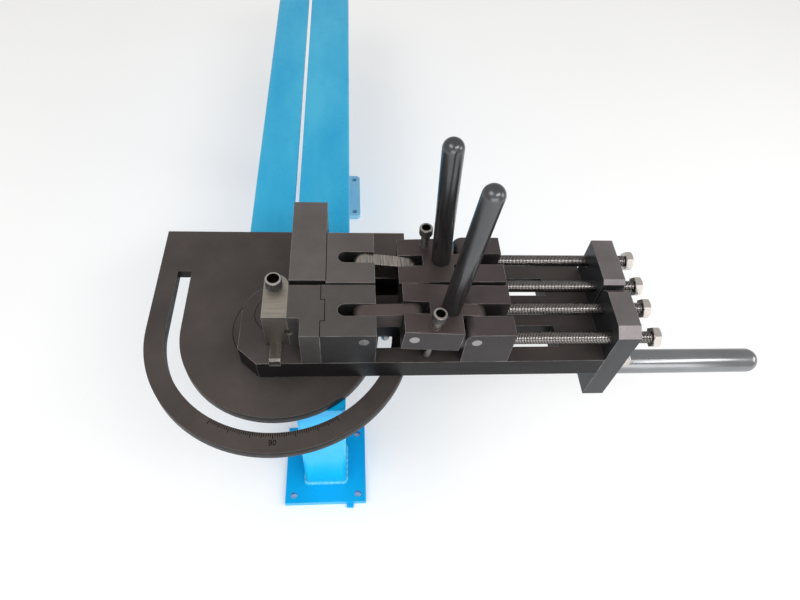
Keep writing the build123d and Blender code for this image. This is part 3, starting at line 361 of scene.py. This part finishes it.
def finish_for(name):
    """Material of a CAD node: its own, or else the one for its kind of part."""
    if name in NODE_FINISHES:
        return NODE_FINISHES[name]
    if name.endswith("handle"):
        return LEVER_BAR
    if name.endswith("_pin"):
        return BRIGHT
    if "screw" in name:
        return SCREW_BLACK
    if "bolt" in name:
        return ZINC
    return MILLED


BROKEN_EDGE = 0.45 * MM
MERGE_DISTANCE = 0.02 * MM


def break_edges(piece, width):
    """Small rounded edges, so that a block catches light along them."""
    weld = piece.modifiers.new("join_faces", "WELD")
    weld.merge_threshold = MERGE_DISTANCE
    bevel = piece.modifiers.new("broken_edges", "BEVEL")
    bevel.width = width
    bevel.segments = 2
    bevel.limit_method = "ANGLE"
    bevel.angle_limit = math.radians(40)
    bevel.use_clamp_overlap = True
    bevel.harden_normals = True


# words in the names of the nodes that keep their edges sharp
SHARP_NODES = ("foot", "bush", "washer", "keeper", "rail_screws", "guide_plate_screws")
for node_name, node in nodes.items():
    node.data.materials.clear()
    node.data.materials.append(finish_for(node_name))
    if not any(word in node_name for word in SHARP_NODES):
        break_edges(node, BROKEN_EDGE)


# ---------------------------------------------------------------- pieces made in mesh code
def mesh_object(name, verts, faces, materials, body, face_material=None):
    """Piece that rides on a body, smooth-shaded; face_material gives each face's material number."""
    mesh = bpy.data.meshes.new(name)
    mesh.from_pydata([tuple(v) for v in verts], [], faces)
    mesh.update()
    for material in materials:
        mesh.materials.append(material)
    for index, polygon in enumerate(mesh.polygons):
        polygon.use_smooth = True
        polygon.material_index = face_material[index] if face_material else 0
    piece = bpy.data.objects.new(name, mesh)
    bpy.context.scene.collection.objects.link(piece)
    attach(piece, body)
    return piece


def smooth_by_angle(piece, degrees):
    """Sharp edges where faces meet at more than the angle."""
    work = bmesh.new()
    work.from_mesh(piece.data)
    bmesh.ops.recalc_face_normals(work, faces=work.faces)
    limit = math.radians(degrees)
    for edge in work.edges:
        edge.smooth = len(edge.link_faces) == 2 and edge.calc_face_angle(0.0) < limit
    work.to_mesh(piece.data)
    work.free()


CREST_INDEX, ROOT_INDEX = 0, 1
THREAD_STEPS = 24  # a turn
# parts of the pitch: below the thread's outer radius, and where the crest's flat starts and ends
ROOT_DROP, CREST_DROP = 0.6, 0.04
CREST_START, CREST_END = 0.36, 0.64
CORE_OVERLAP = 0.1 * MM
TIP_RATIO, TIP_LENGTH = 0.86, 0.4  # the tapered tip: its radius over the core's, its length over the pitch


def threaded_rod(start, stop, major, pitch):
    """Helical V thread along local z over a solid core: vertices, faces and material numbers."""
    root, crest = -ROOT_DROP * pitch, -CREST_DROP * pitch
    profile = ((0.0, root), (CREST_START, crest), (CREST_END, crest), (1.0, root))
    width = len(profile)
    last = stop - pitch
    verts, faces, marks = [], [], []
    for i in range(int((last - start) / pitch * THREAD_STEPS) + 1):
        angle = 2 * math.pi * i / THREAD_STEPS
        for along, drop in profile:
            radius = major + drop
            z = min(start + pitch * (i / THREAD_STEPS + along), stop)
            verts.append((radius * math.cos(angle), radius * math.sin(angle), z))
    for i in range(len(verts) // width - 1):
        for j in range(width - 1):
            a = i * width + j
            faces.append((a, a + 1, a + 1 + width, a + width))
            # crests take the steel, flanks and roots the near-black painted shade
            marks.append(CREST_INDEX if j == 1 else ROOT_INDEX)
    core = major + root + CORE_OVERLAP
    helix_faces = len(faces)
    core_profile = [(core * TIP_RATIO, start), (core, start + TIP_LENGTH * pitch), (core, stop)]
    add_ring_stack(verts, faces, core_profile, THREAD_STEPS)
    marks.extend([ROOT_INDEX] * (len(faces) - helix_faces))
    return verts, faces, marks


def add_ring_stack(verts, faces, profile, sides):
    """Closed solid from (radius, z) rings; a radius may be a function of the angle."""
    base = len(verts)
    for radius, z in profile:
        for k in range(sides):
            angle = 2 * math.pi * k / sides
            r = radius(angle) if callable(radius) else radius
            verts.append((r * math.cos(angle), r * math.sin(angle), z))
    for i in range(len(profile) - 1):
        for k in range(sides):
            a, b = base + i * sides + k, base + i * sides + (k + 1) % sides
            faces.append((a, b, b + sides, a + sides))
    faces.append(tuple(base + k for k in range(sides))[::-1])
    top = base + (len(profile) - 1) * sides
    faces.append(tuple(top + k for k in range(sides)))


def hexagon(apothem):
    """Radius of a hexagon as a function of the angle, with a flat at angle zero."""
    sixth = math.pi / 3
    return lambda angle: apothem / math.cos((angle + sixth / 2) % sixth - sixth / 2)


def place(origin, axis):
    """Matrix that carries local z onto the axis, with its origin at the given point."""
    turn = Vector((0, 0, 1)).rotation_difference(Vector(axis).normalized())
    return Matrix.Translation(Vector(origin)) @ turn.to_matrix().to_4x4()


def placed(verts, matrix):
    """The vertices, carried by the matrix."""
    return [matrix @ Vector(v) for v in verts]


def finish_piece(piece, degrees):
    """Edges sharp where faces meet at more than the given angle, smooth elsewhere."""
    smooth_by_angle(piece, degrees)


M12, M14, M16 = 6.0 * MM, 7.0 * MM, 8.0 * MM  # thread radii
M12_PITCH, M14_PITCH, M16_PITCH = 1.75 * MM, 2.0 * MM, 2.0 * MM
M12_SOCKET, M14_SOCKET = 10.0 * MM, 13.0 * MM  # across flats
CAP_RADIUS, CAP_HEIGHT = 1.5, 2.0  # a socket head's, over its thread's radius
BOLT_HEAD = 10.0 * MM
BOLT_FLATS = 24.0 * MM
HEAD_SIDES = 72
HEAD_CHAMFER = math.radians(30)
WASHER_STEP = 0.5 * MM
DISH_RATIO, DISH_DEPTH = 0.35, 0.15 * MM  # the slight hollow in the head's top
THREAD_SHARP, HEAD_SHARP, CAP_SHARP, MARK_SHARP = 30, 20, 28, 30  # degrees, for finish_piece


def hexagon_head(across_flats, height):
    """Bolt head with a washer face below and a 30 degree chamfer round its crown."""
    apothem = across_flats / 2
    flats = hexagon(apothem)
    washer_face = apothem * 0.95
    crown = apothem * 0.97
    slope = math.tan(HEAD_CHAMFER)
    verts, faces = [], []
    profile = [
        (washer_face, 0.0),
        (washer_face, WASHER_STEP),
        (flats, WASHER_STEP),
        (flats, height),
        (crown, height),
        (crown * DISH_RATIO, height - DISH_DEPTH),
    ]
    add_ring_stack(verts, faces, profile, HEAD_SIDES)
    rim = 3 * HEAD_SIDES  # the first vertex of the ring where the flats end
    for k in range(HEAD_SIDES):
        x, y, z = verts[rim + k]
        drop = (flats(2 * math.pi * k / HEAD_SIDES) - crown) * slope
        verts[rim + k] = (x, y, z - drop)
    return verts, faces


def adjusting_bolt(name, body):
    """Hexagon bolt threaded over its whole length; the head is at its outer end."""
    low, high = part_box(name)
    centre = middle(name)
    seat = high.x - BOLT_HEAD
    verts, faces, marks = threaded_rod(0.0, seat - low.x, M16, M16_PITCH)
    shank = place((low.x, centre.y, centre.z), (1, 0, 0))
    rod = mesh_object(name + "_thread", placed(verts, shank), faces, (CREST, ROOT_PAINTED_SHADE), body, marks)
    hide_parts(name)
    finish_piece(rod, THREAD_SHARP)
    verts, faces = hexagon_head(BOLT_FLATS, BOLT_HEAD)
    head_place = place((seat, centre.y, centre.z), (1, 0, 0))
    head = mesh_object(name + "_head", placed(verts, head_place), faces, (ZINC,), body)
    finish_piece(head, HEAD_SHARP)


KNURL_RIDGES, KNURL_DEPTH = 36, 0.22 * MM
OUTSIDE_INDEX, SOCKET_INDEX = 0, 1


def cap_head(radius, height, socket):
    """Knurled head with a hexagon socket: vertices, faces and material numbers."""

    def knurl(angle):
        return radius - KNURL_DEPTH * (0.5 - 0.5 * math.cos(KNURL_RIDGES * angle))

    recess = hexagon(socket / 2)
    mouth = socket / 2 / math.cos(math.pi / 6) + 0.2 * MM
    sides = 2 * HEAD_SIDES
    verts, faces = [], []
    outer = [
        (radius * 0.94, 0.0),
        (knurl, 0.6 * MM),
        (knurl, height - 1.3 * MM),
        (radius * 0.97, height - 0.9 * MM),
        (radius * 0.9, height),
        (mouth, height),
    ]
    inner = [(recess, height - 0.8 * MM), (recess, height * 0.45)]
    add_ring_stack(verts, faces, outer + inner, sides)
    marks = [OUTSIDE_INDEX] * ((len(outer) - 1) * sides) + [SOCKET_INDEX] * (len(inner) * sides)
    marks += [OUTSIDE_INDEX, SOCKET_INDEX]  # the underside and the socket's floor
    return verts, faces, marks


def cap_screw_pieces(name, body, seats, axis, major, length, pitch, socket, outside):
    """Replace a CAD node of socket head cap screws; the seats are under the heads."""
    shanks, heads = ([], [], []), ([], [], [])
    for seat in seats:
        end = Vector(seat) - Vector(axis) * length
        verts, faces, marks = threaded_rod(0.0, length, major, pitch)
        offset = len(shanks[0])
        shanks[0].extend(placed(verts, place(end, axis)))
        shanks[1].extend(tuple(offset + i for i in face) for face in faces)
        shanks[2].extend(marks)
        verts, faces, marks = cap_head(CAP_RADIUS * major, CAP_HEIGHT * major, socket)
        offset = len(heads[0])
        heads[0].extend(placed(verts, place(seat, axis)))
        heads[1].extend(tuple(offset + i for i in face) for face in faces)
        heads[2].extend(marks)
    rod = mesh_object(name + "_thread", shanks[0], shanks[1], (CREST, ROOT_PAINTED_SHADE), body, shanks[2])
    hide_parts(name)
    finish_piece(rod, THREAD_SHARP)
    cap = mesh_object(name + "_head", heads[0], heads[1], (outside, SOCKET_PAINTED_SHADE), body, heads[2])
    finish_piece(cap, CAP_SHARP)


for unit in ("clamp", "pressure"):
    for side in ("front", "rear"):
        adjusting_bolt(f"{unit}_bolt_{side}", f"{unit}_bolt_{side}")

# the screw through the bend die into the spindle
die_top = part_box("bend_die")[1].z
die_screw_length = die_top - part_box("die_screw")[0].z
die_screw_seat = (SPINDLE.x, SPINDLE.y, die_top)
cap_screw_pieces("die_screw", "swing", [die_screw_seat], (0, 0, 1), M14, die_screw_length, M14_PITCH,
                 M14_SOCKET, SCREW_RIM)

# the end plates' screws, two in a row on each outer face
for plate_name, body in (("front_end_plate", "swing"), ("rear_end_plate", "base")):
    low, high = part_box(plate_name + "_screws")
    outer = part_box(plate_name)[1].x
    height = (low.z + high.z) / 2
    seats = [(outer, y, height) for y in (low.y + CAP_RADIUS * M12, high.y - CAP_RADIUS * M12)]
    cap_screw_pieces(plate_name + "_screws", body, seats, (1, 0, 0), M12, outer - low.x, M12_PITCH,
                     M12_SOCKET, ZINC)


# the stop screws lean with their levers
STOP_LEAN = {"clamp": 4.5, "pressure": -3.0}  # degrees to the right of upright
STOP_LENGTH = 80.0 * MM
for unit, degrees in STOP_LEAN.items():
    turn = math.radians(degrees)
    axis = Vector((math.sin(turn), 0, math.cos(turn)))
    low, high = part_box(unit + "_stop_screw")
    head_radius = CAP_RADIUS * M12
    top_x = high.x - head_radius * math.cos(turn) if degrees > 0 else low.x + head_radius * math.cos(turn)
    top_z = high.z - head_radius * abs(math.sin(turn))
    top = Vector((top_x, (low.y + high.y) / 2, top_z))
    seat = top - axis * CAP_HEIGHT * M12
    cap_screw_pieces(unit + "_stop_screw", unit + "_lever", [seat], axis, M12, STOP_LENGTH, M12_PITCH,
                     M12_SOCKET, SCREW_RIM)


# ---------------------------------------------------------------- angle scale, joint lines and seams
def arc(centre_x, centre_y, radius_x, radius_y, start, stop, count=14):
    """Points along part of an ellipse, angles in degrees."""
    angles = [math.radians(start + (stop - start) * k / count) for k in range(count + 1)]
    return [(centre_x + radius_x * math.cos(a), centre_y + radius_y * math.sin(a)) for a in angles]


# digit strokes in a cell 2 wide and 4 high
STROKES = {
    "0": [arc(1, 2, 1, 2, 0, 360)],
    "9": [arc(1, 2.9, 1, 1.1, 0, 360), [(2, 2.9)] + arc(1, 1.6, 1, 1.6, 0, -150)],
}
DIGIT_UNIT = 1.6 * MM
DIGIT_ADVANCE = 3.1
STROKE_WIDTH = 0.95 * MM
TICK_WIDTH = 0.95 * MM
MARK_SINK, MARK_PROUD = 0.3 * MM, 0.05 * MM
SCALE_FIRST, SCALE_LAST, SCALE_NUMBER = 60, 120, 90  # degrees
SLOT_OUTER_RADIUS = 153.7 * MM
TICK_GAP = 0.7 * MM
TEN_TICK, FIVE_TICK, ONE_TICK = 7.0 * MM, 5.5 * MM, 4.0 * MM
NUMBER_BASELINE = 16.0 * MM  # outward from the slot's edge


def add_bar(verts, faces, start, end, width, height=PLATE_TOP):
    """Slim flat bar between two points, on a flat top at the given height."""
    along = (end - start).normalized()
    across = Vector((-along.y, along.x, 0)) * width / 2
    base = len(verts)
    for point in (start - along * width / 2, end + along * width / 2):
        for side in (-1, 1):
            for z in (height - MARK_SINK, height + MARK_PROUD):
                verts.append(Vector((point.x, point.y, z)) + across * side)
    quads = ((0, 1, 3, 2), (4, 6, 7, 5), (0, 4, 5, 1), (2, 3, 7, 6), (1, 5, 7, 3), (0, 2, 6, 4))
    faces.extend(tuple(base + i for i in quad) for quad in quads)


def scale_direction(degrees):
    """Outward from the spindle; 0 is the arm at rest and the angle grows as the arm is drawn round."""
    return Vector((math.cos(math.radians(degrees)), -math.sin(math.radians(degrees)), 0))


def angle_scale():
    """Degree marks outside the curved slot, about the right-angle bend, with its number."""
    verts, faces = [], []
    for degrees in range(SCALE_FIRST, SCALE_LAST + 1):
        out = scale_direction(degrees)
        reach = TEN_TICK if degrees % 10 == 0 else FIVE_TICK if degrees % 5 == 0 else ONE_TICK
        inner = SPINDLE + out * (SLOT_OUTER_RADIUS + TICK_GAP)
        add_bar(verts, faces, inner, inner + out * reach, TICK_WIDTH)
    out = scale_direction(SCALE_NUMBER)
    right = Vector((-out.y, out.x, 0))
    digits = str(SCALE_NUMBER)
    width = (len(digits) - 1) * DIGIT_ADVANCE + 2
    start = SPINDLE + out * (SLOT_OUTER_RADIUS + NUMBER_BASELINE) - right * width / 2 * DIGIT_UNIT
    for column, digit in enumerate(digits):
        left = column * DIGIT_ADVANCE
        for stroke in STROKES[digit]:
            points = [start + (right * (x + left) - out * y) * DIGIT_UNIT for x, y in stroke]
            for first, second in zip(points, points[1:]):
                add_bar(verts, faces, first, second, STROKE_WIDTH)
    piece = mesh_object("angle_scale", verts, faces, (MARK,), "base")
    finish_piece(piece, MARK_SHARP)


RING_SIDES = 160
HUB_RADIUS, SPINDLE_RADIUS = 64.5 * MM, 31.0 * MM


def joint_line(name, body, radius, height, width):
    """Thin dark ring where a flush round part meets its neighbour."""
    verts, faces = [], []
    for k in range(RING_SIDES):
        angle = 2 * math.pi * k / RING_SIDES
        for r, z in ((radius - width / 2, -MARK_SINK), (radius - width / 2, MARK_PROUD),
                     (radius + width / 2, MARK_PROUD), (radius + width / 2, -MARK_SINK)):
            verts.append((SPINDLE.x + r * math.cos(angle), SPINDLE.y + r * math.sin(angle), height + z))
    for k in range(RING_SIDES):
        a, b = 4 * k, 4 * ((k + 1) % RING_SIDES)
        for c in range(4):
            d = (c + 1) % 4
            faces.append((a + c, a + d, b + d, b + c))
    piece = mesh_object(name, verts, faces, (MARK,), body)
    finish_piece(piece, MARK_SHARP)


joint_line("hub_joint_line", "base", HUB_RADIUS, PLATE_TOP, 0.9 * MM)
joint_line("spindle_joint_line", "swing", SPINDLE_RADIUS, ARM_TOP, 0.8 * MM)


SEAM_WIDTH = 1.0 * MM
TENON_HALF = 16.0 * MM


def seam(name, body, corners, height):
    """Dark gap between a die and its slide, along straight runs on their top."""
    verts, faces = [], []
    for first, second in zip(corners, corners[1:]):
        add_bar(verts, faces, Vector((*first, height)), Vector((*second, height)), SEAM_WIDTH, height)
    piece = mesh_object(name, verts, faces, (MARK,), body)
    finish_piece(piece, MARK_SHARP)


# the clamp die's tenon stands in its slide
die_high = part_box("clamp_die")[1]
slide_low, slide_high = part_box("clamp_slide")
tenon_middle = (slide_low.y + slide_high.y) / 2
tenon_front, tenon_rear = tenon_middle - TENON_HALF, tenon_middle + TENON_HALF
tenon_corners = [
    (slide_low.x, slide_low.y),
    (slide_low.x, tenon_front),
    (die_high.x, tenon_front),
    (die_high.x, tenon_rear),
    (slide_low.x, tenon_rear),
    (slide_low.x, slide_high.y),
]
seam("clamp_seam", "clamp_slide", tenon_corners, slide_high.z)

# the pressure die meets its slide in one straight line
die_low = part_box("pressure_die")[0]
slide_low, slide_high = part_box("pressure_slide")
straight_run = [(slide_low.x, die_low.y), (slide_low.x, slide_high.y)]
seam("pressure_seam", "pressure_slide", straight_run, slide_high.z)
angle_scale()


# ---------------------------------------------------------------- weld beads
BEAD_RADIUS, BEAD_CORNER = 3.8 * MM, 5.0 * MM
BEAD_STATIONS, BEAD_SIDES = 420, 10
BEAD_SHARP = 60
RIPPLE_LENGTH, RIPPLE_DEPTH = 1.6 * MM, 0.09
WANDER_DEPTH = 0.16
WANDER_SCALE = (60, 900, 500)
BEAD_RISE = 1.1  # the bead's height over its width


def bead_line(s, half):
    """Point and outward direction at a distance along the rounded square round a post."""
    straight = 2 * (half - BEAD_CORNER)
    side, rest = divmod(s, straight + math.pi / 2 * BEAD_CORNER)
    if rest < straight:
        out = Vector((1, 0, 0))
        point = Vector((half, -half + BEAD_CORNER + rest, 0))
    else:
        angle = (rest - straight) / BEAD_CORNER
        out = Vector((math.cos(angle), math.sin(angle), 0))
        point = Vector((half - BEAD_CORNER, half - BEAD_CORNER, 0)) + out * BEAD_CORNER
    spin = Matrix.Rotation(side * math.pi / 2, 3, "Z")
    return spin @ point, spin @ out


def weld_bead(name, half, centre):
    """Rippled fillet bead along the foot of a square post."""
    total = 4 * (2 * (half - BEAD_CORNER) + math.pi / 2 * BEAD_CORNER)
    verts, faces = [], []
    for i in range(BEAD_STATIONS):
        s = total * i / BEAD_STATIONS
        point, out = bead_line(s, half)
        wander_place = (s * WANDER_SCALE[0], BEAD_RADIUS * WANDER_SCALE[1], half * WANDER_SCALE[2])
        wave = noise.noise(Vector(wander_place))
        ripple = 1 + RIPPLE_DEPTH * math.sin(s / RIPPLE_LENGTH) + WANDER_DEPTH * wave
        reach = BEAD_RADIUS * ripple
        for k in range(BEAD_SIDES):
            angle = 2 * math.pi * k / BEAD_SIDES
            rise = Vector((0, 0, math.sin(angle) * reach * BEAD_RISE))
            verts.append(Vector(centre) + point + out * math.cos(angle) * reach + rise)
    for i in range(BEAD_STATIONS):
        here, ahead = i * BEAD_SIDES, (i + 1) % BEAD_STATIONS * BEAD_SIDES
        for k in range(BEAD_SIDES):
            beside = (k + 1) % BEAD_SIDES
            faces.append((here + k, here + beside, ahead + beside, ahead + k))
    piece = mesh_object(name, verts, faces, (BEAD_BLUE,), "base")
    finish_piece(piece, BEAD_SHARP)


for post_name in ("front_post", "rear_post"):
    post_low, post_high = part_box(post_name)
    centre = ((post_low.x + post_high.x) / 2, (post_low.y + post_high.y) / 2, post_low.z)
    weld_bead(post_name + "_weld", (post_high.x - post_low.x) / 2, centre)


# ---------------------------------------------------------------- camera, floor and light
LENS, SENSOR_WIDTH = 26.8, 36.0  # millimetres
CAMERA_PLACE = (0.0344, -0.3734, 0.9874)
CAMERA_RIGHT, CAMERA_FORWARD = (0.9960, -0.0534, 0.0710), (0.0888, 0.5878, -0.8041)
VIEW_DEPTH = 20.0


def camera():
    data = bpy.data.cameras.new("camera")
    data.lens = LENS
    data.sensor_width = SENSOR_WIDTH
    data.clip_end = VIEW_DEPTH
    view = bpy.data.objects.new("camera", data)
    right = Vector(CAMERA_RIGHT).normalized()
    forward = Vector(CAMERA_FORWARD).normalized()
    up = right.cross(forward).normalized()
    right = forward.cross(up).normalized()
    turn = Matrix((right, up, -forward)).transposed().to_4x4()
    view.matrix_world = Matrix.Translation(CAMERA_PLACE) @ turn
    bpy.context.scene.collection.objects.link(view)
    bpy.context.scene.camera = view


FLOOR_REACH = 6.0
FLOOR_GLOW = 0.11
AMBIENT = 0.64


def floor():
    reach = FLOOR_REACH
    corners = [(-reach, -reach, 0), (reach, -reach, 0), (reach, reach, 0), (-reach, reach, 0)]
    mesh = bpy.data.meshes.new("floor")
    mesh.from_pydata(corners, [], [(0, 1, 2, 3)])
    m = Shader("pale_floor")
    m.color(m.mix(m.noise(3.0), (0.90, 0.90, 0.90), (0.93, 0.93, 0.93)))
    m.set("Roughness", 0.9)
    m.set("Specular IOR Level", 0.1)
    m.set("Emission Color", (1.0, 1.0, 1.0, 1.0))
    m.set("Emission Strength", FLOOR_GLOW)
    mesh.materials.append(m.material)
    ground = bpy.data.objects.new("floor", mesh)
    bpy.context.scene.collection.objects.link(ground)


def softbox(name, place_at, target, size, power):
    """Rectangular area light aimed at the target; size in metres, power in watts."""
    data = bpy.data.lights.new(name, "AREA")
    data.shape = "RECTANGLE"
    data.size, data.size_y = size
    data.energy = power
    lamp = bpy.data.objects.new(name, data)
    lamp.location = place_at
    lamp.rotation_euler = (Vector(target) - Vector(place_at)).to_track_quat("-Z", "Y").to_euler()
    bpy.context.scene.collection.objects.link(lamp)


def world(strength):
    sky = bpy.data.worlds.new("studio")
    sky.use_nodes = True
    background = sky.node_tree.nodes["Background"]
    background.inputs["Color"].default_value = (1.0, 0.99, 0.98, 1.0)
    background.inputs["Strength"].default_value = strength
    bpy.context.scene.world = sky


camera()
floor()
world(AMBIENT)
softbox("key", (-1.1, -0.7, 2.3), (0.1, 0.1, 0.3), (1.5, 1.0), 14)
softbox("chamfer_light", (1.2, -1.2, 2.2), (0.3, 0.1, 0.35), (1.6, 0.5), 17)
softbox("front_wall", (0.2, -2.2, 0.7), (0.2, 0.1, 0.32), (2.8, 1.1), 21)
softbox("side", (2.4, -0.3, 1.1), (0.4, 0.1, 0.3), (1.0, 0.8), 9)
bpy.context.scene.view_settings.view_transform = "Standard"
